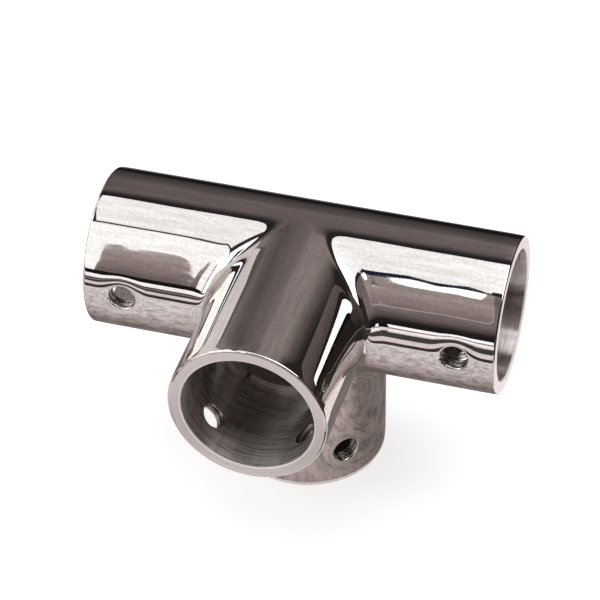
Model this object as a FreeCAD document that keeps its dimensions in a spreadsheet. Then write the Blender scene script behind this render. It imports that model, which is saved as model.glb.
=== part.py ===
import FreeCAD, Part
import os
import Sketcher
from FreeCAD import Placement, Rotation, Vector

# Four way tube fitting, one investment casting in stainless steel.
# A straight run along X has a socket at each end. Two branches leave its middle,
# one towards -Y and one towards -Z, each with a socket. All reach equally far.
# The branches are cast a shade slimmer than the run, so that their skins meet
# it along a clean closed line.
# Origin: centre of the down socket's mouth, in the plane the fitting stands on.
# The centre lines of the four sockets cross at (0, 0, arm_reach).

# Driving dimensions in millimetres, the spread in degrees
dimensions = {
    "tube_radius": 12.7,
    "tube_clearance": 0.1,
    "wall": 2.6,
    "branch_relief": 0.1,
    "arm_reach": 40.5,
    "socket_depth": 22.0,
    "run_core_radius": 12.2,
    "branch_core_radius": 11.6,
    "crotch_blend": 2.5,
    "rim_bevel": 0.4,
    "mouth_chamfer": 0.3,
    "screw_hole_radius": 2.5,
    "screw_flare": 0.6,
    "screw_setback": 7.8,
    "screw_half_spread": 45.0,
}

doc = FreeCAD.newDocument("FourWayTubeFitting")
sheet = doc.addObject("Spreadsheet::Sheet", "Sizes")
for row, (alias, value) in enumerate(dimensions.items(), start=1):
    sheet.set(f"A{row}", alias)
    sheet.set(f"B{row}", str(value))
    sheet.setAlias(f"B{row}", alias)
doc.recompute()

# Sizes that follow from the driving ones, as expressions for the features
BORE = "Sizes.tube_radius + Sizes.tube_clearance"
OUTER = "Sizes.tube_radius + Sizes.tube_clearance + Sizes.wall"
BRANCH = f"{OUTER} - Sizes.branch_relief"
CORE_REACH = "Sizes.arm_reach - Sizes.socket_depth"
SCREW_REACH = "Sizes.arm_reach - Sizes.screw_setback"

# The same as numbers, to find edges by the radius of the faces that meet there
bore_radius = sheet.tube_radius + sheet.tube_clearance
outer_radius = bore_radius + sheet.wall
branch_radius = outer_radius - sheet.branch_relief

body = doc.addObject("PartDesign::Body", "Fitting")
body.Label = "four_way_fitting"
planes = {feature.Role: feature for feature in body.Origin.OriginFeatures}


def new_sketch(name, plane):
    """An empty sketch on one of the body's own origin planes."""
    sketch = body.newObject("Sketcher::SketchObject", name)
    sketch.AttachmentSupport = (planes[plane], [""])
    sketch.MapMode = "FlatFace"
    return sketch


def bind(sketch, constraint, name, size):
    """Add a dimension to a sketch and tie it to the sizes."""
    index = sketch.addConstraint(constraint)
    sketch.renameConstraint(index, name)
    sketch.setExpression(f"Constraints.{name}", size)


def circle_sketch(name, plane, radius, raised=True, offset=None):
    """One circle on an origin plane. Raised, its centre is at the height where
    the centre lines cross; offset moves the sketch along the plane's normal."""
    sketch = new_sketch(name, plane)
    if offset:
        sketch.setExpression("AttachmentOffset.Base.z", offset)
    height = sheet.arm_reach if raised else 0
    sketch.addGeometry(Part.Circle(Vector(0, height, 0), Vector(0, 0, 1), bore_radius))
    bind(sketch, Sketcher.Constraint("Radius", 0, bore_radius), "radius", radius)
    if raised:
        sketch.addConstraint(Sketcher.Constraint("PointOnObject", 0, 3, -2))
        rise = Sketcher.Constraint("DistanceY", -1, 1, 0, 3, height)
        bind(sketch, rise, "height", "Sizes.arm_reach")
    else:
        sketch.addConstraint(Sketcher.Constraint("Coincident", 0, 3, -1, 1))
    return sketch


def extrude(kind, name, sketch, length, side="One side", backwards=False):
    """Pad or pocket a sketch by a length from the sheet."""
    feature = body.newObject(f"PartDesign::{kind}", name)
    feature.Profile = sketch
    feature.SideType = side
    feature.Reversed = backwards
    feature.setExpression("Length", length)
    doc.recompute()


def is_round(face, radius):
    """True for a cylindrical face of this radius."""
    return isinstance(face.Surface, Part.Cylinder) and abs(face.Surface.Radius - radius) < 1e-4


def is_skin(face):
    """True for the outside of the run or of a branch."""
    return is_round(face, outer_radius) or is_round(face, branch_radius)


def skins_meet(face, other):
    """True for two skins on crossing centre lines."""
    if not (is_skin(face) and is_skin(other)):
        return False
    return abs(face.Surface.Axis.dot(other.Surface.Axis)) < 0.5


def ends_skin(face, other):
    """True for a flat end and the skin that it ends."""
    return isinstance(face.Surface, Part.Plane) and is_skin(other)


def opens_bore(face, other):
    """True for a flat end and the bore that opens in it."""
    return isinstance(face.Surface, Part.Plane) and is_round(other, bore_radius)


def dress(kind, name, size_property, size, meet):
    """Fillet or chamfer the tip's edges where two faces satisfy meet(face, face)."""
    base = body.Tip
    names = []
    for number, edge in enumerate(base.Shape.Edges, start=1):
        faces = base.Shape.ancestorsOfType(edge, Part.Face)
        if len(faces) == 2 and (meet(*faces) or meet(*reversed(faces))):
            names.append(f"Edge{number}")
    feature = body.newObject(f"PartDesign::{kind}", name)
    feature.Base = (base, names)
    feature.setExpression(size_property, size)
    doc.recompute()


# The outer skin: a solid run with a branch to the front and one downwards,
# their ends broken by a small bevel
run_outline = circle_sketch("RunOutline", "YZ_Plane", OUTER)
extrude("Pad", "Run", run_outline, "2 * Sizes.arm_reach", side="Symmetric")
front_outline = circle_sketch("FrontOutline", "XZ_Plane", BRANCH)
extrude("Pad", "FrontBranch", front_outline, "Sizes.arm_reach")
down_outline = circle_sketch("DownOutline", "XY_Plane", BRANCH, raised=False)
extrude("Pad", "DownBranch", down_outline, "Sizes.arm_reach")
dress("Chamfer", "RimBevel", "Size", "Sizes.rim_bevel", ends_skin)

# The casting's blend in the crotches fades away where two skins run level
dress("Fillet", "CrotchBlend", "Radius", "Sizes.crotch_blend", skins_meet)

# Four machined sockets, each bored in from its own mouth
right_bore = circle_sketch("RightBore", "YZ_Plane", BORE, offset="Sizes.arm_reach")
extrude("Pocket", "RightSocket", right_bore, "Sizes.socket_depth")
left_bore = circle_sketch("LeftBore", "YZ_Plane", BORE, offset="-Sizes.arm_reach")
extrude("Pocket", "LeftSocket", left_bore, "Sizes.socket_depth", backwards=True)
front_bore = circle_sketch("FrontBore", "XZ_Plane", BORE, offset="Sizes.arm_reach")
extrude("Pocket", "FrontSocket", front_bore, "Sizes.socket_depth")
down_bore = circle_sketch("DownBore", "XY_Plane", BORE, raised=False)
extrude("Pocket", "DownSocket", down_bore, "Sizes.socket_depth", backwards=True)
dress("Chamfer", "MouthChamfer", "Size", "Sizes.mouth_chamfer", opens_bore)

# The cast core joins them in the middle, and its narrower mouths stop the tubes
run_core = circle_sketch("RunCoreOutline", "YZ_Plane", "Sizes.run_core_radius")
extrude("Pocket", "RunCore", run_core, f"2 * ({CORE_REACH})", side="Symmetric")
front_core = circle_sketch("FrontCoreOutline", "XZ_Plane", "Sizes.branch_core_radius")
extrude("Pocket", "FrontCore", front_core, CORE_REACH, backwards=True)
down_core = circle_sketch("DownCoreOutline", "XY_Plane", "Sizes.branch_core_radius",
                          raised=False, offset="Sizes.socket_depth")
extrude("Pocket", "DownCore", down_core, CORE_REACH, backwards=True)


def screw_hole(name, out, middle, side):
    """One set screw's hole in the socket whose mouth faces out, turned to one
    side of the direction called middle. It is drilled to the thread's core from
    the socket's centre line outwards, and its edge is flared at 45 degrees."""
    direction = Rotation(out, side * sheet.screw_half_spread).multVec(middle)
    sketch = new_sketch(name + "Outline", "XY_Plane")
    turn = Rotation(out, direction, out.cross(direction), "XYZ")
    sketch.AttachmentOffset = Placement(Vector(), turn)
    for axis, share in zip("xyz", out):
        centre = "Sizes.arm_reach" if axis == "z" else "0"
        place = f"{centre} + {share:.0f} * ({SCREW_REACH})"
        sketch.setExpression(f"AttachmentOffset.Base.{axis}", place)

    # Half the hole's section: the drill's side, the flare, which runs on past
    # the skin, and back along the hole's own centre line
    drill = sheet.screw_hole_radius
    flare = 2 * sheet.screw_flare
    seat = outer_radius - sheet.screw_flare
    corners = [(0, 0), (drill, 0), (drill, seat), (drill + flare, seat + flare), (0, seat + flare)]
    points = [Vector(x, y, 0) for x, y in corners]
    for start, end in zip(points, points[1:] + points[:1]):
        sketch.addGeometry(Part.LineSegment(start, end))
    for line in range(len(points)):
        following = (line + 1) % len(points)
        sketch.addConstraint(Sketcher.Constraint("Coincident", line, 2, following, 1))
    sketch.addConstraint(Sketcher.Constraint("Coincident", 0, 1, -1, 1))
    for line, way in ((0, "Horizontal"), (1, "Vertical"), (3, "Horizontal"), (4, "Vertical")):
        sketch.addConstraint(Sketcher.Constraint(way, line))
    sizes = (
        ("drill", "DistanceX", 0, drill, "Sizes.screw_hole_radius"),
        ("seat", "DistanceY", 1, seat, f"{OUTER} - Sizes.screw_flare"),
        ("flare_width", "DistanceX", 2, flare, "2 * Sizes.screw_flare"),
        ("flare_height", "DistanceY", 2, flare, "2 * Sizes.screw_flare"),
    )
    for size, way, line, value, expression in sizes:
        bind(sketch, Sketcher.Constraint(way, line, 1, line, 2, value), size, expression)

    hole = body.newObject("PartDesign::Groove", name)
    hole.Profile = sketch
    hole.ReferenceAxis = (sketch, ["V_Axis"])
    hole.Angle = 360
    doc.recompute()


# Two tapped holes a quarter turn apart near each mouth
run_middle = Vector(0, -1, -1).normalize()
for side, word in ((-1, "A"), (1, "B")):
    screw_hole("RightScrewHole" + word, Vector(1, 0, 0), run_middle, side)
    screw_hole("LeftScrewHole" + word, Vector(-1, 0, 0), run_middle, side)
    screw_hole("FrontScrewHole" + word, Vector(0, -1, 0), Vector(0, 0, -1), side)
    screw_hole("DownScrewHole" + word, Vector(0, 0, -1), Vector(0, -1, 0), side)

for item in doc.Objects:
    if "Invalid" in item.State or "Error" in item.State:
        raise RuntimeError(f"{item.Label} failed: {item.State}")
if body.Shape.isNull() or not body.Shape.isValid():
    raise RuntimeError(f"{body.Label} is not a valid solid")

os.makedirs("parts", exist_ok=True)
body.Shape.exportStep(f"parts/{body.Label}.step")
print(f"{body.Label}: {len(body.Shape.Solids)} solid, {body.Shape.Volume:.1f} mm3")
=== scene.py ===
import math
import bpy
import numpy as np
from mathutils import Matrix, Vector


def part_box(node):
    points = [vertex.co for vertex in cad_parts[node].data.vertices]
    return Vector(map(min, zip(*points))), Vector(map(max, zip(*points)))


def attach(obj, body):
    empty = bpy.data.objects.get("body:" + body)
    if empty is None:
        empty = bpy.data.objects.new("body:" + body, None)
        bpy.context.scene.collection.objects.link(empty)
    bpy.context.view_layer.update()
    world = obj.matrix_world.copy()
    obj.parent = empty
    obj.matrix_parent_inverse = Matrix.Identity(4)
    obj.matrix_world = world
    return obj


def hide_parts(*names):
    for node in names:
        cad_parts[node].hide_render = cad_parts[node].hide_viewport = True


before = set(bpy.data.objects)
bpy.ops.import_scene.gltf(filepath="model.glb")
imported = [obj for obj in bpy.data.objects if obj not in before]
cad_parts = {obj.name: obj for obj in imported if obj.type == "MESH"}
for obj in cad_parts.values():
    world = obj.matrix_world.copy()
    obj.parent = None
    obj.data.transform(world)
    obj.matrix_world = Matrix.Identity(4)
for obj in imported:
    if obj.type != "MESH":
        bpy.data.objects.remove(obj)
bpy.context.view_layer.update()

# Where the fitting stands. It rests on the mouth of its down socket, and the
# centre lines of its four sockets cross straight above, at the height of its reach.
high_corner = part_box("four_way_fitting")[1]
reach = high_corner[0]
crossing = Vector((0.0, 0.0, reach))
skin_radius = high_corner[2] - reach


# The camera, a long lens looking down on the front socket from its right. It is
# rolled by half a degree, and the fitting sits a little off the frame's middle.
camera_turn = math.radians(16.34)
camera_rise = math.radians(39.77)
camera_roll = math.radians(-0.56)
camera_distance = 0.5726

back_way = Vector((math.sin(camera_turn) * math.cos(camera_rise),
                   -math.cos(camera_turn) * math.cos(camera_rise),
                   math.sin(camera_rise)))
right_way = Vector((math.cos(camera_turn), math.sin(camera_turn), 0.0))
up_way = back_way.cross(right_way)
level_right = right_way * math.cos(camera_roll) + up_way * math.sin(camera_roll)
level_up = up_way * math.cos(camera_roll) - right_way * math.sin(camera_roll)
camera_data = bpy.data.cameras.new("camera")
camera_data.lens = 178.2
camera_data.sensor_width = 36.0
camera_data.shift_x = -0.0127
camera_data.shift_y = -0.0352
camera_data.clip_start = 0.01
camera_data.clip_end = 20.0
camera = bpy.data.objects.new("camera", camera_data)
bpy.context.collection.objects.link(camera)
turned = Matrix((level_right, level_up, back_way)).transposed().to_4x4()
camera.matrix_world = Matrix.Translation(crossing + back_way * camera_distance) @ turned
bpy.context.scene.camera = camera
bpy.context.scene.view_settings.view_transform = "Standard"


# The table: one wide sheet of matt white board, which catches the fitting's soft
# shadow. It glows where the camera and the steel see it, so that it comes out white.
table_half = 3.0
table_colour = (0.93, 0.92, 0.92)
table_glow = 0.52


def flat_piece(name, corners):
    """A flat sheet with these corners, put in the scene."""
    mesh = bpy.data.meshes.new(name)
    mesh.from_pydata([tuple(corner) for corner in corners], [], [tuple(range(len(corners)))])
    piece = bpy.data.objects.new(name, mesh)
    bpy.context.collection.objects.link(piece)
    return piece


def bare_nodes(owner):
    """Clear the nodes of a material or a world. Gives its nodes and its links."""
    owner.use_nodes = True
    owner.node_tree.nodes.clear()
    return owner.node_tree.nodes, owner.node_tree.links


def math_node(nodes, links, operation, first, second):
    """One step of arithmetic on two values, each a socket or a number."""
    node = nodes.new("ShaderNodeMath")
    node.operation = operation
    for index, value in enumerate((first, second)):
        if isinstance(value, (int, float)):
            node.inputs[index].default_value = value
        else:
            links.new(value, node.inputs[index])
    return node.outputs[0]


def show_white(nodes, links, shader, amount):
    """Let camera, mirror and glass rays alone see this much of a shader's white."""
    path = nodes.new("ShaderNodeLightPath")
    seen = math_node(nodes, links, "MAXIMUM", path.outputs["Is Camera Ray"], path.outputs["Is Glossy Ray"])
    seen = math_node(nodes, links, "MAXIMUM", seen, path.outputs["Is Transmission Ray"])
    links.new(math_node(nodes, links, "MULTIPLY", seen, amount), shader.inputs["Strength"])


def show_both(nodes, links, first, second, output):
    """Add two shaders up and put them on the surface."""
    both = nodes.new("ShaderNodeAddShader")
    surface = nodes.new(output)
    links.new(first.outputs[0], both.inputs[0])
    links.new(second.outputs[0], both.inputs[1])
    links.new(both.outputs[0], surface.inputs["Surface"])


table = flat_piece("table", [(-table_half, -table_half, 0), (table_half, -table_half, 0),
                             (table_half, table_half, 0), (-table_half, table_half, 0)])
table_white = bpy.data.materials.new("table_white")
nodes, links = bare_nodes(table_white)
paper = nodes.new("ShaderNodeBsdfDiffuse")
paper.inputs["Color"].default_value = (*table_colour, 1)
glow = nodes.new("ShaderNodeEmission")
glow.inputs["Color"].default_value = (1, 1, 1, 1)
show_both(nodes, links, paper, glow, "ShaderNodeOutputMaterial")
show_white(nodes, links, glow, table_glow)
table.data.materials.append(table_white)


# The white surround beyond the table, as of a studio cove. One part of its white
# lights the fitting softly from all sides, and the other only shows.
surround_light = 0.45
surround_shown = 0.55
world = bpy.data.worlds.new("surround")
bpy.context.scene.world = world
nodes, links = bare_nodes(world)
white = nodes.new("ShaderNodeBackground")
white.inputs["Color"].default_value = (1, 1, 1, 1)
soft = nodes.new("ShaderNodeBackground")
soft.inputs["Color"].default_value = (1, 1, 1, 1)
soft.inputs["Strength"].default_value = surround_light
show_both(nodes, links, white, soft, "ShaderNodeOutputWorld")
show_white(nodes, links, white, surround_shown)


# The small room that the polished steel mirrors is made of glowing paper cards. At
# its back stands a dark wall that grows lighter upwards, and the ceiling over it is
# dark behind the softbox. Where cards overlap, they hang a layer or more apart.
room_half = 0.9
room_height = 1.0
wall_far = 1.5
wall_join = 0.5
softbox_back = 0.42
layer = 0.001
wall_black = (0.03, 0.025, 0.022)


def remapped(nodes, links, value, start, end, lowest=0.0, highest=1.0):
    """Turn a value between start and end into one between two others."""
    node = nodes.new("ShaderNodeMapRange")
    node.inputs["From Min"].default_value = start
    node.inputs["From Max"].default_value = end
    node.inputs["To Min"].default_value = lowest
    node.inputs["To Max"].default_value = highest
    links.new(value, node.inputs["Value"])
    return node.outputs[0]


def card(name, corners, glows, axis="Z"):
    """A card of the room. It glows in one colour, or shades from stop to stop along
    an axis, with glows as (place, colour) pairs. It shows in the steel alone, and
    leaves the light on the table to the lamp."""
    piece = flat_piece(name, corners)
    paint = bpy.data.materials.new(name)
    nodes, links = bare_nodes(paint)
    glow = nodes.new("ShaderNodeEmission")
    surface = nodes.new("ShaderNodeOutputMaterial")
    links.new(glow.outputs[0], surface.inputs["Surface"])
    if isinstance(glows, tuple):
        glow.inputs["Color"].default_value = (*glows, 1)
    else:
        start, end = glows[0][0], glows[-1][0]
        place = nodes.new("ShaderNodeTexCoord")
        split = nodes.new("ShaderNodeSeparateXYZ")
        links.new(place.outputs["Object"], split.inputs[0])
        share = remapped(nodes, links, split.outputs[axis], start, end)
        ramp = nodes.new("ShaderNodeValToRGB")
        stops = ramp.color_ramp.elements
        for where, colour in glows[1:-1]:
            stops.new((where - start) / (end - start)).color = (*colour, 1)
        stops[0].color = (*glows[0][1], 1)
        stops[-1].color = (*glows[-1][1], 1)
        links.new(share, ramp.inputs[0])
        links.new(ramp.outputs[0], glow.inputs["Color"])
    piece.data.materials.append(paint)
    paint.cycles.emission_sampling = "NONE"
    piece.visible_camera = False
    piece.visible_diffuse = False
    piece.visible_shadow = False
    return piece


def oblong(left, right, low, high):
    """The corners of an oblong card."""
    return [(left, low), (right, low), (right, high), (left, high)]


def upright(y, corners):
    """Corners given as (x, z), on a card that stands across the room at y."""
    return [(x, y, z) for x, z in corners]


def lying(z, corners):
    """Corners given as (x, y), on a level card at height z."""
    return [(x, y, z) for x, y in corners]


card("back_wall", upright(room_half, oblong(-wall_far, wall_far, 0, wall_join)),
     [(0.0, (0.02, 0.018, 0.018)), (0.03, (0.03, 0.027, 0.026)), (0.05, (0.05, 0.045, 0.044)),
      (0.14, (0.073, 0.064, 0.062)), (0.24, (0.099, 0.086, 0.083)), (0.34, (0.127, 0.109, 0.104)),
      (0.45, (0.155, 0.132, 0.127)), (wall_join, (0.173, 0.147, 0.141))])
card("back_wall_top", upright(room_half, oblong(-wall_far, wall_far, wall_join, room_height)),
     [(-wall_far, (0.30, 0.28, 0.27)), (-0.80, (0.29, 0.27, 0.26)), (-0.74, (0.235, 0.21, 0.205)),
      (-0.65, (0.18, 0.16, 0.155)), (-0.56, (0.142, 0.122, 0.118)), (-0.46, (0.152, 0.13, 0.126)),
      (-0.38, (0.18, 0.153, 0.148)), (-0.25, (0.208, 0.176, 0.17)), (-0.14, (0.23, 0.195, 0.188)),
      (-0.03, (0.315, 0.265, 0.265)), (0.14, (0.35, 0.30, 0.30)), (0.28, (0.355, 0.305, 0.30)),
      (0.38, (0.335, 0.29, 0.28)), (0.48, (0.262, 0.228, 0.22)), (0.58, (0.15, 0.133, 0.125)),
      (0.67, (0.075, 0.068, 0.062)), (0.75, wall_black), (wall_far, wall_black)], axis="X")
card("back_ceiling", lying(room_height, oblong(-wall_far, wall_far, softbox_back, room_half)),
     [(softbox_back, (0.025, 0.022, 0.03)), (0.53, (0.03, 0.027, 0.03)), (0.60, (0.08, 0.07, 0.072)),
      (0.68, (0.155, 0.134, 0.13)), (0.74, (0.19, 0.163, 0.157)), (room_half, (0.195, 0.168, 0.16))],
     axis="Y")
card("back_ceiling_right", lying(room_height - layer, oblong(-0.10, wall_far, 0.62, room_half)),
     [(-0.10, (0.20, 0.17, 0.165)), (0.0, (0.33, 0.28, 0.28)), (0.3, (0.35, 0.30, 0.295)),
      (0.5, (0.25, 0.215, 0.21)), (0.6, (0.13, 0.115, 0.11)), (0.75, wall_black),
      (wall_far, wall_black)], axis="X")


# The softbox is white cloth on a dark blue frame, hung right across the ceiling.
# Two dark bars and a seam cross its left half, and its white runs on to the front
# left corner of the room. The frame's near edge is traced from its reflection.
softbox_front = -0.40
corner_end = -0.24
corner_white = (1.55, 1.60, 1.57)
lit_white = (2.5, 2.48, 2.45)
lit_blue_white = (2.5, 2.9, 3.05)
frame_blue = (0.024, 0.023, 0.055)
bar_black = (0.05, 0.045, 0.045)
card("softbox", lying(room_height, [
    (-wall_far, softbox_front), (corner_end, softbox_front), (corner_end, -0.44), (-0.10, -0.44),
    (-0.10, softbox_front), (0.5, softbox_front), (1.0, -0.50), (1.4, -0.62), (1.4, 0.2), (1.0, 0.2),
    (0.45, softbox_back), (-wall_far, softbox_back)]),
     [(-wall_far, lit_blue_white), (-0.75, lit_blue_white), (-0.45, (1.42, 1.45, 1.44)),
      (-0.2, (1.40, 1.44, 1.43)), (-0.02, (1.53, 1.60, 1.60)), (0.12, (1.55, 1.60, 1.58)),
      (0.35, (3.5, 3.45, 3.4)), (0.8, (3.7, 3.7, 3.65)), (wall_far, (2.8, 2.8, 2.8))], axis="X")
card("dark_ceiling_right", lying(room_height + 2 * layer, oblong(0.2, wall_far, -0.6, 0.45)),
     (0.04, 0.035, 0.035))
card("softbox_frame_right", lying(room_height - 3 * layer, [
    (corner_end, softbox_front), (-0.200, softbox_front), (-0.188, -0.395), (-0.175, -0.368),
    (-0.165, -0.355), (-0.160, -0.375), (-0.157, -0.408), (-0.146, -0.395), (-0.133, -0.355),
    (-0.129, -0.40), (-0.126, -0.445), (-0.127, -0.466), (-0.132, -0.491), (-0.139, -0.458),
    (-0.148, -0.466), (-0.161, -0.506), (-0.164, -0.493), (-0.169, -0.446), (-0.181, -0.479),
    (-0.195, -0.524), (corner_end, -0.55)]), frame_blue)
card("softbox_frame_far", lying(room_height, oblong(-0.10, 0.6, -0.50, softbox_front)), frame_blue)
card("softbox_front_left", lying(room_height, oblong(-wall_far, corner_end, -room_half, softbox_front)),
     [(-wall_far, lit_white), (-0.75, lit_white), (-0.45, corner_white), (corner_end, corner_white)],
     axis="X")
card("dark_bar_near_left", lying(room_height - 3 * layer, [
    (-0.56, -0.33), (-0.40, -0.33), (-0.42, softbox_back), (-0.56, softbox_back)]), bar_black)
card("dark_bar_left", lying(room_height - 2 * layer, oblong(-wall_far, -0.78, -0.01, 0.27)), bar_black)
card("softbox_seam_left", lying(room_height - 2 * layer, [
    (-0.75, -0.366), (-0.29, -0.366), (-0.262, -0.455), (corner_end, -0.455), (corner_end, softbox_front),
    (-0.258, -0.41), (-0.278, -0.324), (-0.75, -0.324)]), (0.07, 0.06, 0.07))


# The front right of the room: a grey ceiling with a bright wedge of light on it, and
# a dark wall. A brown panel with a pale edge hangs on that wall, and the outlines of
# wedge and panel are traced from how the crotch of the fitting bends them.
right_wall_start = -0.238
right_wall_end = 0.35
steel_black = (0.012, 0.012, 0.013)
card("front_ceiling_right", lying(room_height, [
    (corner_end, -room_half), (0.6, -room_half), (0.6, -0.50), (-0.10, -0.50), (-0.10, -0.44),
    (corner_end, -0.44)]), (0.22, 0.19, 0.18))
card("white_wedge_right", lying(room_height - 2.5 * layer, [
    (-0.187, -0.50), (-0.182, -0.46), (-0.169, -0.42), (-0.150, -0.44), (-0.132, -0.47), (-0.126, -0.50),
    (-0.133, -0.561), (-0.141, -0.616), (-0.150, -0.695), (-0.156, -0.685), (-0.160, -0.64),
    (-0.171, -0.665), (-0.182, -0.67), (-0.192, -0.68), (-0.196, -0.64), (-0.193, -0.57)]),
     (2.2, 2.35, 2.4))
card("dark_ceiling_front", lying(room_height, [
    (0.6, -room_half), (wall_far, -room_half), (wall_far, -0.55), (0.6, -0.45)]), steel_black)
card("front_wall_right", upright(-room_half, oblong(right_wall_start, right_wall_end, 0, room_height)),
     [(0.0, steel_black), (0.12, (0.025, 0.022, 0.021)), (0.25, (0.17, 0.14, 0.135)),
      (0.33, (0.25, 0.21, 0.205)), (0.42, (0.28, 0.24, 0.235)), (room_height, (0.24, 0.205, 0.20))])
card("front_wall_far_right", upright(-room_half, oblong(right_wall_end, wall_far, 0, room_height)),
     (0.04, 0.035, 0.033))
card("brown_panel_edge", upright(-0.885, [
    (-0.248, 1.0), (-0.213, 0.758), (-0.190, 0.572), (-0.178, 0.455), (-0.164, 0.397), (-0.149, 0.402),
    (-0.138, 0.43), (-0.100, 0.405), (-0.070, 0.408), (-0.046, 0.49), (-0.058, 0.661), (-0.090, 1.0)]),
     (0.55, 0.50, 0.49))
card("brown_panel_right", upright(-0.88, [
    (-0.240, 1.0), (-0.206, 0.758), (-0.183, 0.572), (-0.170, 0.472), (-0.160, 0.423), (-0.149, 0.430),
    (-0.138, 0.455), (-0.100, 0.436), (-0.075, 0.440), (-0.055, 0.511), (-0.068, 0.661), (-0.100, 1.0)]),
     [(0.42, (0.31, 0.25, 0.245)), (0.75, (0.44, 0.36, 0.355)), (room_height, (0.54, 0.455, 0.44))])
card("brown_panel_top", lying(room_height - 2 * layer, [
    (right_wall_start, -room_half), (-0.100, -room_half), (-0.080, -0.50), (-0.200, -0.50)]),
     (0.46, 0.40, 0.38))


# The front left of the room: a white wall with one dark stripe up it, and a narrow
# brown panel, a white strip and a black skirting board that hang or stand before it.
stripe_black = (0.03, 0.025, 0.025)
stripe_pale = (0.90, 0.80, 0.80)
card("front_wall_left", upright(-room_half, oblong(-wall_far, right_wall_start, 0, room_height)),
     [(-wall_far, lit_white), (-0.78, lit_white), (-0.77, stripe_black), (-0.71, stripe_black),
      (-0.70, stripe_pale), (-0.63, stripe_pale), (-0.62, corner_white),
      (right_wall_start, corner_white)], axis="X")
card("brown_panel_left", upright(-0.89, [
    (-0.246, -0.01), (-0.251, 0.212), (-0.268, 0.417), (-0.288, 0.575), (-0.308, 0.688), (-0.334, 0.799),
    (-0.346, 0.833), (-0.350, 0.816), (-0.342, 0.737), (-0.336, 0.683), (-0.348, 0.732), (-0.367, 0.816),
    (-0.376, 0.838), (-0.374, 0.789), (-0.354, 0.664), (-0.331, 0.493), (-0.311, 0.278),
    (-0.318, -0.01)]),
     [(0.0, (0.12, 0.10, 0.095)), (0.06, (0.20, 0.165, 0.16)), (0.25, (0.34, 0.275, 0.27)),
      (0.45, (0.45, 0.375, 0.37)), (0.65, (0.55, 0.485, 0.475)), (0.83, (0.64, 0.58, 0.57))])
card("white_strip_left", upright(-0.895, [(-0.252, 0), (-0.205, 0), (-0.225, 0.33), (-0.262, 0.33)]),
     corner_white)
card("black_skirting_left", upright(-0.885, oblong(-0.60, -0.15, 0, 0.042)), steel_black)


# The two side walls, a bright one on the left and a dark one on the right, and a
# white sheet that hangs in the back left corner.
card("left_wall", [(-wall_far, -1, 0), (-wall_far, room_half, 0), (-wall_far, room_half, room_height),
                   (-wall_far, -1, room_height)],
     [(0.0, (0.5, 0.48, 0.47)), (0.35, (1.0, 0.95, 0.94)), (room_height, (1.0, 0.95, 0.94))])
card("right_wall", [(wall_far, -1, 0), (wall_far, 1, 0), (wall_far, 1, room_height),
                    (wall_far, -1, room_height)],
     [(0.0, (0.03, 0.03, 0.03)), (0.5, (0.08, 0.07, 0.07)), (room_height, (0.12, 0.11, 0.10))])
card("white_sheet_back_left", upright(0.89, [
    (-wall_far, 0.06), (-0.775, 0.06), (-0.775, 0.42), (-0.95, 0.55), (-0.95, room_height),
    (-wall_far, room_height)]),
     [(0.06, (0.92, 0.88, 0.89)), (room_height, (1.0, 0.95, 0.95))])


# Strips of black, white and pink paper lie on the table, most of them in front of the
# fitting, the others beside and behind it. The steel draws them out into fine lines
# along its tubes. Those of the left and the right half meet left of the middle.
strips_meet = -0.035
strip_white = (1.1, 1.0, 1.0)
strip_black = (0.07, 0.06, 0.06)
strip_grey = (0.40, 0.34, 0.34)
shadow_black = (0.07, 0.055, 0.055)
card("dark_floor_front", lying(2 * layer, oblong(-wall_far, wall_far, -room_half, softbox_front)),
     steel_black)
card("bright_floor_far", lying(2.5 * layer, [
    (-0.185, -room_half), (-0.02, -room_half), (0.02, -0.38), (-0.10, -0.38)]), (1.7, 1.72, 1.75))
card("pink_line_right", lying(3 * layer, [
    (-0.085, -0.37), (0.06, -0.37), (0.06, -0.285), (-0.07, -0.285)]), (0.42, 0.30, 0.33))
card("bright_floor_front", lying(2 * layer, oblong(-wall_far, wall_far, softbox_front, -0.20)),
     [(softbox_front, (1.65, 1.68, 1.7)), (-0.30, (1.6, 1.6, 1.62)), (-0.20, (1.45, 1.42, 1.42))],
     axis="Y")
card("bright_line_left", lying(2 * layer, oblong(-wall_far, strips_meet, -0.131, -0.107)), strip_white)
card("bright_line_right", lying(2 * layer, oblong(strips_meet, wall_far, -0.108, -0.081)), strip_white)
card("dark_floor_right", lying(2.8 * layer, [(0.088, -0.35), (1.2, -0.35), (1.2, 0.6), (0.088, 0.3)]),
     (0.05, 0.045, 0.04))
card("bright_floor_right", lying(1.5 * layer, oblong(0.042, 0.085, -0.015, 0.10)), (1.25, 1.13, 1.13))
card("dark_line_left", lying(3 * layer, oblong(-wall_far, strips_meet, -0.205, -0.131)),
     [(-0.205, strip_black), (-0.178, strip_black), (-0.170, strip_grey), (-0.162, strip_grey),
      (-0.155, strip_black), (-0.131, strip_black)], axis="Y")
card("dark_line_near_left", lying(2 * layer, oblong(-wall_far, strips_meet, -0.107, -0.088)),
     shadow_black)
card("dark_line_right", lying(3 * layer, oblong(strips_meet, wall_far, -0.172, -0.108)),
     (0.08, 0.075, 0.07))
card("dark_line_near_right", lying(2 * layer, oblong(strips_meet, wall_far, -0.081, -0.068)),
     shadow_black)
card("dark_floor_back", lying(2 * layer, [
    (-0.19, 0.155), (-0.03, 0.152), (0.0, 0.135), (0.12, 0.13), (0.13, 0.10), (wall_far, 0.55),
    (wall_far, room_half), (-0.30, room_half)]), steel_black)


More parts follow.
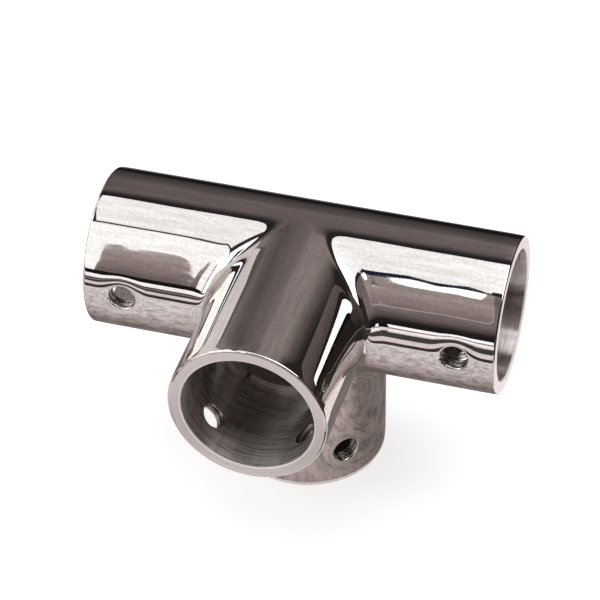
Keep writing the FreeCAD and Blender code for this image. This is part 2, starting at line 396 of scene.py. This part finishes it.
# The grey cloth under the strips is a glowing card whose glow is a painted shadow: bright at the front and
# darker towards the back, where the fitting shades it. It is a crumpled cotton, creased from front to
# back, and its creases are painted shade in that glow.
cloth_half = 1.4
crease_scale = 130.0
crease_squeeze = (3.0, 1.0, 1.0)
cloth_painted_shadow = card("cloth_painted_shadow", lying(layer, oblong(-cloth_half, cloth_half, -room_half, room_half)),
                  [(-0.07, (1.02, 0.98, 0.97)), (-0.055, (0.98, 0.94, 0.93)), (-0.04, (0.88, 0.82, 0.82)),
                   (-0.03, (0.84, 0.78, 0.78)), (-0.024, (0.66, 0.59, 0.59)), (-0.016, (0.52, 0.45, 0.44)),
                   (-0.006, (0.27, 0.23, 0.22)), (0.01, (0.24, 0.21, 0.20)), (0.05, (0.22, 0.19, 0.18))],
                  axis="Y")
nodes = cloth_painted_shadow.active_material.node_tree.nodes
links = cloth_painted_shadow.active_material.node_tree.links
place = nodes.new("ShaderNodeTexCoord")
squeeze = nodes.new("ShaderNodeVectorMath")
squeeze.operation = "MULTIPLY"
squeeze.inputs[1].default_value = crease_squeeze
links.new(place.outputs["Object"], squeeze.inputs[0])
creases = nodes.new("ShaderNodeTexNoise")
creases.inputs["Scale"].default_value = crease_scale
creases.inputs["Detail"].default_value = 6.0
creases.inputs["Roughness"].default_value = 0.7
links.new(squeeze.outputs[0], creases.inputs["Vector"])
# The creases darken and lighten the card's glow: painted shade.
crease_shade = remapped(nodes, links, creases.outputs["Fac"], start=0.36, end=0.56,
                        lowest=0.60, highest=1.12)
links.new(crease_shade, nodes["Emission"].inputs["Strength"])


# A black disc, a painted shadow, lies loose on the table just inside the down socket's mouth, so that no
# white of the table shows up inside the socket.
shadow_disc_radius = 0.0126
shadow_disc_height = 0.0002
shadow_disc_sides = 48
round_turn = [2 * math.pi * k / shadow_disc_sides for k in range(shadow_disc_sides)]
socket_shadow_disc = flat_piece("painted_shadow_disc", [
    (shadow_disc_radius * math.cos(a), shadow_disc_radius * math.sin(a), shadow_disc_height) for a in round_turn])
# The disc's black is painted shadow, not a material of the scene.
shadow_disc_paint = bpy.data.materials.new("painted_shadow_black")
shadow_disc_paint.use_nodes = True
shadow_disc_shader = shadow_disc_paint.node_tree.nodes["Principled BSDF"]
shadow_disc_shader.inputs["Base Color"].default_value = (0.01, 0.01, 0.01, 1)
shadow_disc_shader.inputs["Roughness"].default_value = 1.0
socket_shadow_disc.data.materials.append(shadow_disc_paint)


# The lamp: one wide, soft oblong under the ceiling, straight above the fitting. The
# steel doesn't mirror it, because the softbox's cards stand for it there.
lamp_height = 0.97
lamp_data = bpy.data.lights.new("overhead_lamp", "AREA")
lamp_data.shape = "RECTANGLE"
lamp_data.size = 1.4
lamp_data.size_y = 1.2
lamp_data.energy = 6.2
lamp = bpy.data.objects.new("overhead_lamp", lamp_data)
lamp.location = (0.0, 0.0, lamp_height)
lamp.visible_glossy = False
bpy.context.collection.objects.link(lamp)


# The fitting's skin: one investment casting in stainless steel, ground and mirror
# polished all over. A straight run lies along X, with one branch to the front and
# one down, and the crotches between them are blended by hand on the polishing belt.
mm = 0.001
outer = skin_radius / mm
arm_reach = reach / mm
columns = 176
turn = np.arange(columns + 1) * 2 * np.pi / columns
X, Y, Z = np.eye(3)

# An arm points out, and angles round it are counted in degrees from its zero towards
# its side. Roll is how far, in millimetres, the belt takes its skin down at the mouth.
arms = {
    "right": {"out": X, "zero": Z, "side": -Y, "run": True, "holes": (90, 180), "roll": 0.08},
    "left": {"out": -X, "zero": Z, "side": -Y, "run": True, "holes": (90, 180), "roll": 0.08},
    "front": {"out": -Y, "zero": Z, "side": X, "run": False, "holes": (135, 225), "roll": 0.14},
    "down": {"out": -Z, "zero": Y, "side": X, "run": False, "holes": (135, 225), "roll": 0.15},
}

# How the belt leaves the skin: blended in the crotches, dished round the holes,
# rolled off towards the mouths, and rippled all over. Lengths are in millimetres.
hole_setback = 7.8
hole_place = arm_reach - hole_setback
blend_reach = 4.5
blend_fade = 0.3
dish_rise = 0.75
dish_reach = 6.0
dish_power = 2.5
roll_reach = 4.0
ripple_height = 0.008
ripple_lengths = (14.0, 11.0, 9.0, 7.5, 6.0, 5.0, 4.2)
ripples_each = 3
middle_length = 9
tallest_sum = 4
drawn_out = np.array([0.35, 0.7, 0.9])
nothing = 1e-12
least_width = 1e-9
skin, rim, socket, core, thread, lead = range(6)
quads = {"points": [], "normals": [], "lathe": [], "finish": []}


def facing(arm, angle):
    """Unit vectors from an arm's centre line, at an angle round it."""
    angle = np.asarray(angle)[..., None]
    return arm["zero"] * np.cos(angle) + arm["side"] * np.sin(angle)


def start_of(arm, angle):
    """How far out an arm starts, in tube radii: where its skin leaves the others."""
    sine, cosine = np.sin(angle), np.cos(angle)
    if arm["run"]:
        return np.maximum(0, np.maximum(sine, -cosine))
    return np.maximum(abs(sine), -cosine)


holes = []
for arm in arms.values():
    for angle in arm["holes"]:
        holes.append((arm["out"] * hole_place, facing(arm, math.radians(angle))))


def joined(first, second):
    """Join two (distance, direction) skins as the polished crotches do: widely
    where they meet at a steep angle, and not at all where they run level."""
    (a, a_way), (b, b_way) = first, second
    steep = 1 - (a_way * b_way).sum(-1)
    width = blend_reach * steep * (1 + blend_fade) / (steep + blend_fade) + least_width
    near = np.clip(width - abs(a - b), 0, None) / width
    distance = np.minimum(a, b) - width * near ** 3 / 6
    share = near ** 2 / 2
    share = np.where(a < b, share, 1 - share)[..., None]
    way = a_way * (1 - share) + b_way * share
    return distance, way / (np.linalg.norm(way, axis=-1, keepdims=True) + nothing)


def ripples(points):
    """The slow unevenness that hand polishing leaves, as crossing waves drawn out
    along the run. It only ever takes metal away."""
    draw = np.random.default_rng(7)
    height = np.zeros(len(points))
    for length in ripple_lengths:
        for _ in range(ripples_each):
            way = draw.normal(size=3)
            way *= 2 * np.pi / length / np.linalg.norm(way)
            wave = np.sin((points * drawn_out) @ way + draw.uniform(0, 2 * np.pi))
            height += length / middle_length * wave
    return ripple_height * (height / tallest_sum + 1)


def skin_distance(points):
    """Distance from the polished skin, in millimetres, with the crossing at zero."""
    x, y, z = points.T
    zero = np.zeros_like(x)
    tubes = []
    for line in ((zero, y, z), (x, np.maximum(y, 0), z), (x, y, np.maximum(z, 0))):
        line = np.stack(line, -1)
        size = np.linalg.norm(line, axis=-1)
        tubes.append((size - outer, line / (size[..., None] + nothing)))
    distance = joined(joined(tubes[0], tubes[1]), tubes[2])[0]
    for centre, way in holes:
        offset = points - centre
        height = offset @ way
        aside = np.sqrt(np.clip((offset ** 2).sum(-1) - height ** 2, 0, None))
        dish = dish_rise * np.clip(1 - aside / dish_reach, 0, None) ** dish_power
        distance = distance + np.where(height > 0, dish, 0)
    for arm in arms.values():
        inward = arm_reach - points @ arm["out"]
        distance = distance + arm["roll"] * np.clip(1 - inward / roll_reach, 0, None) ** 3
    return distance + ripples(points)


def slope(points, step=1e-4):
    """The direction in which the skin's distance grows."""
    parts = []
    for way in np.eye(3):
        parts.append(skin_distance(points + way * step) - skin_distance(points - way * step))
    return np.stack(parts, -1) / (2 * step)


def on_skin(points, passes=7):
    """Points moved onto the polished skin, and the skin's normals there."""
    shape = points.shape
    points = points.reshape(-1, 3).copy()
    for _ in range(passes):
        way = slope(points)
        points -= way * (skin_distance(points) / (way ** 2).sum(-1))[:, None]
    way = slope(points)
    way /= np.linalg.norm(way, axis=-1, keepdims=True)
    return points.reshape(shape), way.reshape(shape)


def add_sheet(points, normals, lathe, finish, keep=None):
    """Add the faces of a grid of points, with their normals and lathe places."""
    corners = []
    for grid in (points, normals, lathe):
        grid = np.broadcast_to(grid, points.shape)
        corners.append(np.stack([grid[:-1, :-1], grid[:-1, 1:], grid[1:, 1:], grid[1:, :-1]], 2))
    if keep is not None:
        corners = [grid[keep] for grid in corners]
    place, normal, spin = (grid.reshape(-1, 4, 3) for grid in corners)
    face_way = np.cross(place[:, 2] - place[:, 0], place[:, 3] - place[:, 1])
    wrong = (face_way * normal.mean(1)).sum(-1) < 0
    for grid in (place, normal, spin):
        grid[wrong] = grid[wrong][:, ::-1]
    quads["points"].append(place)
    quads["normals"].append(normal)
    quads["lathe"].append(spin)
    quads["finish"].append(np.full(len(place), finish))


def lathe_places(along, radius, angles):
    """Place along the arm, radius and angle, for marks left by the tools."""
    along, radius, angles = np.broadcast_arrays(along, radius, angles)
    return np.stack([along, radius, angles], -1)


# The grid of the skin leaves a square free round each hole, for a patch of its own,
# and its rows gather in the crotches
patch_steps = 11
patch_cell = outer * 2 * np.pi / columns
patch_half = patch_steps * patch_cell
patch_rows = np.linspace(hole_place - patch_half, hole_place + patch_half, 2 * patch_steps + 1)
rim_round = 0.45
crotch_rows = 17
crotch_gather = 1.35
crotch_share = np.linspace(0, 1, crotch_rows) ** crotch_gather
crotch_end = 23.5
middle_rows = 2
mouth_rows = 2


def outside_patches(arm, first_row, row_count):
    """Which faces of a grid aren't taken up by the patches round the holes."""
    keep = np.ones((row_count, columns), bool)
    for angle in arm["holes"]:
        middle = round(angle / 360 * columns)
        keep[first_row:first_row + 2 * patch_steps, middle - patch_steps:middle + patch_steps] = False
    return keep


for arm in arms.values():
    begin = start_of(arm, turn) * outer
    along = begin + (crotch_end - begin) * crotch_share[:, None]
    to_patches = np.linspace(crotch_end, patch_rows[0], middle_rows + 2)[1:-1]
    to_mouth = np.linspace(patch_rows[-1], arm_reach - rim_round, mouth_rows + 1)[1:]
    rows_out = np.concatenate([to_patches, patch_rows, to_mouth])
    along = np.concatenate([along, np.repeat(rows_out[:, None], columns + 1, 1)])
    points = arm["out"] * along[..., None] + facing(arm, turn) * outer
    points, normals = on_skin(points)
    keep = outside_patches(arm, crotch_rows + middle_rows, len(along) - 1)
    add_sheet(points, normals, lathe_places(along, outer, turn), skin, keep)
    arm["edge"], arm["edge_normals"] = points[-1], normals[-1]


# The rims and the four sockets: each is faced and bored on a lathe to take a tube,
# its rim's outer edge is eased and its mouth has a fine lead-in. The socket ends at
# a step, where the narrower cast core stops the tube.
bore = 12.8
mouth_round = 0.3
socket_depth = 22.0
run_core = 12.2
branch_core = 11.6
core_taper = 5.0
eased_rows = 6
face_rows = 3
lead_rows = 4
deep_rows = 7
core_rows = 8
eased = np.linspace(0, 1, eased_rows + 1)[:, None, None]
lead_in = np.radians(np.linspace(0, 90, lead_rows + 1))
mouth_start = arm_reach - mouth_round
step_place = arm_reach - socket_depth
for arm in arms.values():
    out, ways = arm["out"], facing(arm, turn)

    def turned_sheet(profile, normals, finish, keep=None):
        """A sheet turned round the arm, from (along, radius) pairs."""
        profile = np.array(profile)[:, None, :]
        normals = np.array(normals)[:, None, :]
        points = out * profile[..., :1] + ways * profile[..., 1:]
        facing_out = out * normals[..., :1] + ways * normals[..., 1:]
        places = lathe_places(profile[..., 0], profile[..., 1], turn)
        add_sheet(points, facing_out, places, finish, keep)

    # The eased outer edge runs on from the skin and ends square on the rim's face
    edge, level = arm["edge"], arm["edge_normals"]
    onward = out - (level @ out)[:, None] * level
    corner = edge + onward * (rim_round / (onward @ out))[:, None]
    brink = corner - ways * rim_round
    rounded_rim = edge * (1 - eased) ** 2 + corner * 2 * eased * (1 - eased) + brink * eased ** 2
    run = (corner - edge) * (1 - eased) + (brink - corner) * eased
    rim_normals = np.cross(np.cross(out, ways), run)
    rim_normals /= np.linalg.norm(rim_normals, axis=-1, keepdims=True)
    rim_normals *= np.sign((rim_normals * (ways + out)).sum(-1, keepdims=True))
    add_sheet(rounded_rim, rim_normals, lathe_places(arm_reach, outer, turn), skin)

    # The rim's flat face, then the lead-in round its inner edge
    lip_circle = out * arm_reach + ways * (bore + mouth_round)
    face = brink + (lip_circle - brink) * np.linspace(0, 1, face_rows + 1)[:, None, None]
    radius = np.linalg.norm(face - out * arm_reach, axis=-1)
    add_sheet(face, out, lathe_places(arm_reach, radius, turn), rim)
    lead_profile = []
    for a in lead_in:
        lead_profile.append((mouth_start + mouth_round * np.cos(a),
                             bore + mouth_round - mouth_round * np.sin(a)))
    turned_sheet(lead_profile, [(np.cos(a), -np.sin(a)) for a in lead_in], lead)

    # The bore down to the step, and the cast core that runs on from the step
    from_mouth = np.linspace(mouth_start, patch_rows[-1], mouth_rows + 1)[:-1]
    to_step = np.linspace(patch_rows[0], step_place, deep_rows + 1)[1:]
    down_bore = np.concatenate([from_mouth, patch_rows[::-1], to_step])
    keep = outside_patches(arm, mouth_rows, len(down_bore) - 1)
    turned_sheet([(x, bore) for x in down_bore], [(0, -1)] * len(down_bore), socket, keep)
    stop = run_core if arm["run"] else branch_core
    turned_sheet([(step_place, bore), (step_place, stop)], [(1, 0)] * 2, socket)
    begin = start_of(arm, turn) * run_core
    along = begin + (step_place - begin) * np.linspace(0, 1, core_rows + 1)[:, None]
    widening = np.clip((along - step_place + core_taper) / core_taper, 0, 1)
    radius = run_core - (run_core - stop) * widening
    points = out * along[..., None] + ways * radius[..., None]
    add_sheet(points, np.broadcast_to(-ways, points.shape), lathe_places(along, radius, turn), core)


# The eight set-screw holes, two a quarter turn apart near each mouth: drilled and
# tapped M6 by one, with polished lips. The belt dips a little round each of them.
hole_start = 2.55
lip_radius = 3.1
lip_depth = 0.55
thread_core = 2.5
thread_depth = 0.5
thread_pitch = 1.0
thread_root = 0.18
thread_flank = 0.68
thread_run_in = 6
thread_run_out = 8
lip_steps = 5
thread_steps = 20
ring_steps = 10
ring_gather = 1.3
around_hole = 8 * patch_steps
first_corner = -135
corner_turn = np.radians(first_corner + 360 * np.arange(around_hole + 1) / around_hole)


def square_round(radius):
    """The outline of a hole's patch: places round the tube, and places along it."""
    angles, places = [], []
    side = 2 * patch_steps
    for k in range(around_hole + 1):
        on = k % side
        corners = [(-patch_steps + on, -patch_steps), (patch_steps, -patch_steps + on),
                   (patch_steps - on, patch_steps), (-patch_steps, patch_steps - on)]
        a, b = corners[k // side % 4]
        angles.append(a * 2 * np.pi / columns)
        places.append(b * patch_cell)
    return radius * np.sin(np.array(angles)), np.array(places)


def patch(arm, middle, radius, hole, finish, polished):
    """The surface between a hole's circle and the square of the grid round it."""
    square = np.stack(square_round(radius), -1)
    circle = hole * np.stack([np.cos(corner_turn), np.sin(corner_turn)], -1)
    share = (np.linspace(0, 1, ring_steps + 1) ** ring_gather)[:, None, None]
    flat = circle + (square - circle) * share
    angles = middle + np.arcsin(flat[..., 0] / radius)
    along = hole_place + flat[..., 1]
    ways = facing(arm, angles)
    points = arm["out"] * along[..., None] + ways * radius
    normals = -ways
    if polished:
        points, normals = on_skin(points)
    add_sheet(points, normals, lathe_places(along, radius, angles), finish)
    return points[0], normals[0]


def screw_profile(angles, height):
    """The tapped hole's radius at an angle round it and a height along it."""
    phase = (height / thread_pitch - angles / (2 * np.pi)) % 1
    saw = abs(2 * phase - 1)
    return thread_core + thread_depth * np.clip((saw - thread_root) / thread_flank, 0, 1)


for arm in arms.values():
    for angle in arm["holes"]:
        middle = math.radians(angle)
        way = facing(arm, middle)
        centre = arm["out"] * hole_place
        outer_ring, outer_normals = patch(arm, middle, outer, lip_radius, skin, True)
        inner_ring, _ = patch(arm, middle, bore, hole_start, socket, False)

        # The polished lip turns over from the skin into the hole's throat
        outward = (np.cos(corner_turn)[:, None] * facing(arm, middle + math.pi / 2)
                   + np.sin(corner_turn)[:, None] * arm["out"])
        inward = -(outward - (outward * outer_normals).sum(-1, keepdims=True) * outer_normals)
        inward /= np.linalg.norm(inward, axis=-1, keepdims=True)
        run_in = (lip_radius - hole_start) / -(inward * outward).sum(-1, keepdims=True)
        knee = outer_ring + inward * run_in
        top = (knee - centre) @ way - lip_depth
        throat = centre + way * top[:, None] + outward * hole_start
        s = np.linspace(0, 1, lip_steps + 1)[:, None, None]
        lip = outer_ring * (1 - s) ** 2 + knee * 2 * s * (1 - s) + throat * s ** 2
        run = (knee - outer_ring) * (1 - s) + (throat - knee) * s
        lip_normals = np.cross(np.cross(way, outward), run)
        lip_normals /= np.linalg.norm(lip_normals, axis=-1, keepdims=True)
        lip_normals *= np.sign((lip_normals * (way - outward)).sum(-1, keepdims=True))
        spin = np.broadcast_to(lathe_places(0, lip_radius, corner_turn), lip.shape)
        add_sheet(lip, lip_normals, spin, skin)

        # The thread winds from the throat down to the bore, and fades at both ends
        bottom = (inner_ring - centre) @ way
        t = np.linspace(0, 1, thread_steps + 1)[:, None]
        height = top + (bottom - top) * t

        def hole_radius(round_angle, height):
            """The hole's radius, with the thread fading out near either end."""
            share = np.clip((top - height) / (top - bottom), 0, 1)
            ease = np.clip(share * thread_run_in, 0, 1) * np.clip((1 - share) * thread_run_out, 0, 1)
            return hole_start + ease * (screw_profile(round_angle, height) - hole_start)

        radius = hole_radius(corner_turn, height)
        step = 0.02
        above, below = hole_radius(corner_turn, height + step), hole_radius(corner_turn, height - step)
        climb = (above - below) / (2 * step)
        points = centre + way * height[..., None] + outward * radius[..., None]
        normals = -outward + way * climb[..., None]
        normals /= np.linalg.norm(normals, axis=-1, keepdims=True)
        spin = np.broadcast_to(lathe_places(height, radius, corner_turn), points.shape)
        add_sheet(points, normals, spin, thread)


# The whole casting is one closed piece of metal: its sheets are sewn together along
# their shared edges, and every face keeps the true direction of the steel there.
# Each corner also keeps its place on the lathe and the axis of its own arm.
sewing_digits = 4
points = np.concatenate(quads["points"])
normals = np.concatenate(quads["normals"])
lathe = np.concatenate(quads["lathe"])
finishes = np.concatenate(quads["finish"])
loose = points.reshape(-1, 3)
_, first_use, corner_of = np.unique(np.round(loose, sewing_digits) + 0.0, axis=0,
                                    return_index=True, return_inverse=True)
faces = corner_of.reshape(-1, 4)
sewn = (loose[first_use] * mm + np.array(crossing)).astype(np.float32)

mesh = bpy.data.meshes.new("fitting")
mesh.vertices.add(len(sewn))
mesh.vertices.foreach_set("co", sewn.ravel())
mesh.loops.add(faces.size)
mesh.loops.foreach_set("vertex_index", faces.ravel().astype(np.int32))
mesh.polygons.add(len(faces))
mesh.polygons.foreach_set("loop_start", np.arange(0, faces.size, 4, dtype=np.int32))
mesh.polygons.foreach_set("material_index", finishes.astype(np.int32))
mesh.polygons.foreach_set("use_smooth", np.ones(len(faces), bool))
mesh.update(calc_edges=True)
marks = mesh.attributes.new("lathe", "FLOAT_VECTOR", "CORNER")
marks.data.foreach_set("vector", lathe.reshape(-1).astype(np.float32))
arm_of_face = np.argmax(abs(points.mean(1)), 1)
arm_axes = np.repeat(np.eye(3)[arm_of_face], 4, 0)
axes = mesh.attributes.new("arm_axis", "FLOAT_VECTOR", "CORNER")
axes.data.foreach_set("vector", arm_axes.reshape(-1).astype(np.float32))
mesh.normals_split_custom_set(normals.reshape(-1, 3).tolist())
fitting = bpy.data.objects.new("fitting", mesh)
bpy.context.collection.objects.link(fitting)


# The outside is mirror polished on a soft wheel, a warm grey steel. Under the gloss
# it keeps a fine cloudy grain, and faint lines along each tube from the buffing.
polished_colour = (0.63, 0.585, 0.57)


def steel(name, colour, roughness, metallic=1.0):
    """A finish of stainless steel. Gives its nodes, its links and its shader, and
    the place on the lathe, split into along, radius and angle as X, Y and Z."""
    metal = bpy.data.materials.new(name)
    metal.use_nodes = True
    nodes, links = metal.node_tree.nodes, metal.node_tree.links
    shader = nodes["Principled BSDF"]
    shader.inputs["Base Color"].default_value = (*colour, 1)
    shader.inputs["Metallic"].default_value = metallic
    shader.inputs["Roughness"].default_value = roughness
    marks = nodes.new("ShaderNodeAttribute")
    marks.attribute_name = "lathe"
    split = nodes.new("ShaderNodeSeparateXYZ")
    links.new(marks.outputs["Vector"], split.inputs[0])
    mesh.materials.append(metal)
    return nodes, links, shader, split


def grain(nodes, links, scale, detail):
    """Fine even noise through the metal."""
    place = nodes.new("ShaderNodeTexCoord")
    noise = nodes.new("ShaderNodeTexNoise")
    noise.inputs["Scale"].default_value = scale
    noise.inputs["Detail"].default_value = detail
    links.new(place.outputs["Object"], noise.inputs["Vector"])
    return noise.outputs["Fac"]


def streaks(nodes, links, split, along, around, outward=0.0):
    """Noise over the place on the lathe, drawn out where its scale is small: along
    the arm, around it, or outward from its centre line."""
    cosine = math_node(nodes, links, "COSINE", split.outputs["Z"], 0.0)
    sine = math_node(nodes, links, "SINE", split.outputs["Z"], 0.0)
    place = nodes.new("ShaderNodeCombineXYZ")
    links.new(math_node(nodes, links, "MULTIPLY", split.outputs["X"], along), place.inputs[0])
    links.new(math_node(nodes, links, "MULTIPLY", cosine, around), place.inputs[1])
    links.new(math_node(nodes, links, "MULTIPLY", sine, around), place.inputs[2])
    noise = nodes.new("ShaderNodeTexNoise")
    noise.noise_dimensions = "4D"
    noise.inputs["Scale"].default_value = 1.0
    noise.inputs["Detail"].default_value = 3.0
    links.new(place.outputs[0], noise.inputs["Vector"])
    links.new(math_node(nodes, links, "MULTIPLY", split.outputs["Y"], outward), noise.inputs["W"])
    return noise.outputs["Fac"]


def mean_of(nodes, links, first, second):
    """The mean of two values."""
    return math_node(nodes, links, "MULTIPLY", math_node(nodes, links, "ADD", first, second), 0.5)


def shade(nodes, links, noise, lowest, highest, spread=0.18):
    """Turn noise, which keeps near its middle, into a value between two others."""
    return remapped(nodes, links, noise, 0.5 - spread, 0.5 + spread, lowest, highest)


def tint(nodes, links, shader, amount):
    """Darken or lighten the shader's colour by an amount."""
    colour = nodes.new("ShaderNodeVectorMath")
    colour.operation = "SCALE"
    colour.inputs[0].default_value = shader.inputs["Base Color"].default_value[:3]
    links.new(amount, colour.inputs["Scale"])
    links.new(colour.outputs[0], shader.inputs["Base Color"])


nodes, links, shader, split = steel("polished_steel", polished_colour, roughness=0.02)
cloudy = grain(nodes, links, scale=2100.0, detail=3.0)
buffing = streaks(nodes, links, split, along=0.12, around=22.0)
mottled = mean_of(nodes, links, cloudy, buffing)
tint(nodes, links, shader, shade(nodes, links, mottled, lowest=0.84, highest=1.12, spread=0.12))
links.new(shade(nodes, links, buffing, lowest=0.012, highest=0.045), shader.inputs["Roughness"])


# The rims are faced on a lathe and left as they come off it: a soft, pale steel with
# fine rings round the mouth.
faced_colour = (0.79, 0.715, 0.71)
nodes, links, shader, split = steel("faced_steel", faced_colour, roughness=0.28, metallic=0.55)
rings = streaks(nodes, links, split, along=0.0, around=2.5, outward=9.0)
tint(nodes, links, shader, shade(nodes, links, rings, lowest=0.97, highest=1.03))
links.new(shade(nodes, links, rings, lowest=0.27, highest=0.31), shader.inputs["Roughness"])


# The sockets are bored. The tool leaves close turns, which draw every reflection out along the socket. The
# colour grows darker down from the mouth, which is painted shade, and in the front socket it is a little
# brighter than in the others, which is painted light.
bored_colour = (0.80, 0.74, 0.72)
bored_drawing = 0.97
depth_shade_from = arm_reach - 1.0
depth_shade_to = arm_reach - 9.0
depth_shade_least = 0.50
front_painted_light = 0.15
nodes, links, shader, split = steel("bored_steel", bored_colour, roughness=0.33)
shader.inputs["Anisotropic"].default_value = bored_drawing
arm_axis = nodes.new("ShaderNodeAttribute")
arm_axis.attribute_name = "arm_axis"
links.new(arm_axis.outputs["Vector"], shader.inputs["Tangent"])
which_arm = nodes.new("ShaderNodeSeparateXYZ")
links.new(arm_axis.outputs["Vector"], which_arm.inputs[0])
turns = streaks(nodes, links, split, along=3.2, around=1.2)
drawn = streaks(nodes, links, split, along=0.10, around=9.0)
mottled = mean_of(nodes, links, turns, drawn)
mottled = shade(nodes, links, mottled, lowest=0.82, highest=1.20, spread=0.12)
# Painted light: the front socket's colour is lifted a little.
front_light_factor = math_node(nodes, links, "MULTIPLY", which_arm.outputs["Y"], front_painted_light)
front_light_factor = math_node(nodes, links, "ADD", front_light_factor, 1.0)
mottled = math_node(nodes, links, "MULTIPLY", mottled, front_light_factor)
# Painted shade: the colour darkens down from the mouth.
painted_depth_shade = remapped(nodes, links, split.outputs["X"], depth_shade_to, depth_shade_from, depth_shade_least, 1.0)
tint(nodes, links, shader, math_node(nodes, links, "MULTIPLY", mottled, painted_depth_shade))
links.new(shade(nodes, links, turns, lowest=0.24, highest=0.34), shader.inputs["Roughness"])


# The core is left as it was cast: a dark, dull steel with the fine sandy skin that
# the mould gives it.
cast_colour = (0.44, 0.40, 0.38)
sand_height = 0.00006
nodes, links, shader, split = steel("cast_steel", cast_colour, roughness=0.5, metallic=0.8)
sand = grain(nodes, links, scale=1300.0, detail=5.0)
tint(nodes, links, shader, shade(nodes, links, sand, lowest=0.72, highest=1.15))
bump = nodes.new("ShaderNodeBump")
bump.inputs["Strength"].default_value = 1.0
bump.inputs["Distance"].default_value = sand_height
links.new(sand, bump.inputs["Height"])
links.new(bump.outputs[0], shader.inputs["Normal"])


# The threads in the screw holes are cut by a tap, and are coloured dark and streaked.
tapped_colour = (0.34, 0.31, 0.30)
nodes, links, shader, split = steel("tapped_steel", tapped_colour, roughness=0.26)
cuts = streaks(nodes, links, split, along=0.8, around=3.0, outward=1.5)
tint(nodes, links, shader, shade(nodes, links, cuts, lowest=0.6, highest=1.25))


# The lead-ins at the mouths are coloured near white and left matt: a painted highlight that stands for the
# bright line they catch round each mouth.
lead_in_highlight_colour = (0.97, 0.94, 0.93)
# Near white and matt: a painted highlight.
nodes, links, shader, split = steel("painted_highlight_steel", lead_in_highlight_colour, roughness=0.30, metallic=0.1)
cuts = streaks(nodes, links, split, along=2.0, around=1.0, outward=2.0)
tint(nodes, links, shader, shade(nodes, links, cuts, lowest=0.92, highest=1.04))

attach(fitting, "root")
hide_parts("four_way_fitting")
